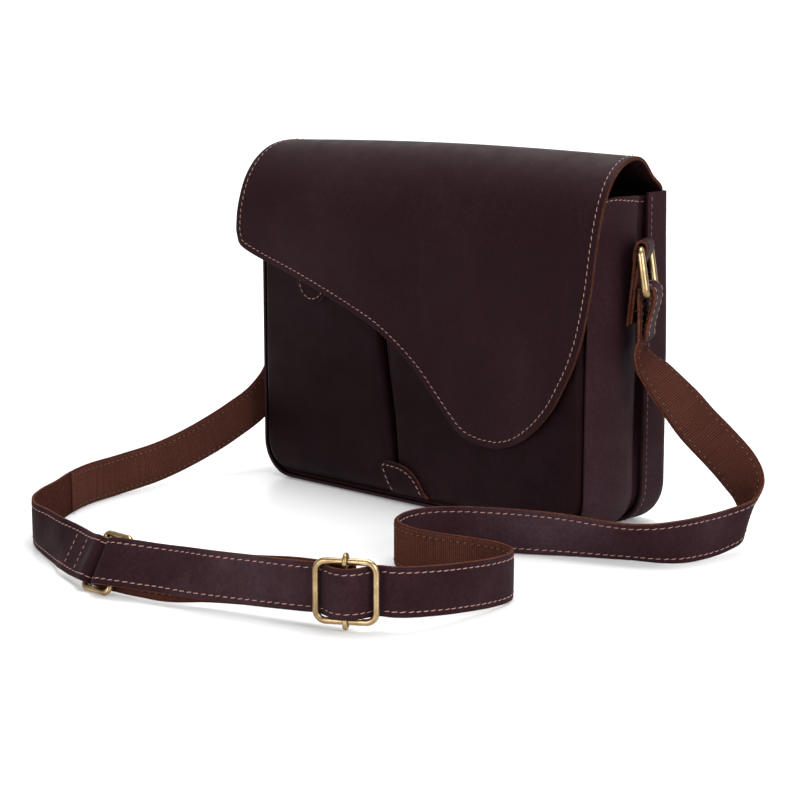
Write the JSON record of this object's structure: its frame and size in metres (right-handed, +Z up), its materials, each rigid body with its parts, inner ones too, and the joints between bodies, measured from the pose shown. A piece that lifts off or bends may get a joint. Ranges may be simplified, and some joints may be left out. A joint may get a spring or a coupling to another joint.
{
  "type": "crossbody bag",
  "caption": "Structured leather crossbody bag with a curved asymmetric flap, crowned front pockets, pleated gussets, side rings and an adjustable webbing-backed strap laid on the floor.",
  "frame": {"origin": "on the underside of the bag's flat base, in the middle of its width, where it rests on the floor", "axes": "+X to the bag's right seen from the front, +Y towards its back, +Z up"},
  "size_m": [0.4443, 0.3983, 0.2591],
  "materials": {
    "leather": "smooth oiled leather with a soft sheen",
    "webbing": "ribbed woven webbing",
    "brass": "antique satin brass"
  },
  "bodies": {
    "root": {"back_panel": "leather", "gusset": "leather", "front_panel": "leather", "pocket_left": "leather", "pocket_right": "leather", "pocket_patch": "leather", "pocket_tab": "leather", "flap": "leather", "ring_tab_left": "leather", "ring_tab_right": "leather", "long_strap_leather": "leather", "short_strap_leather": "leather", "long_strap_webbing": "webbing", "short_strap_webbing": "webbing", "side_ring_left": "brass", "side_ring_right": "brass", "adjuster_ring": "brass", "slider_frame": "brass", "slider_bar": "brass"}
  },
  "joints": []
}
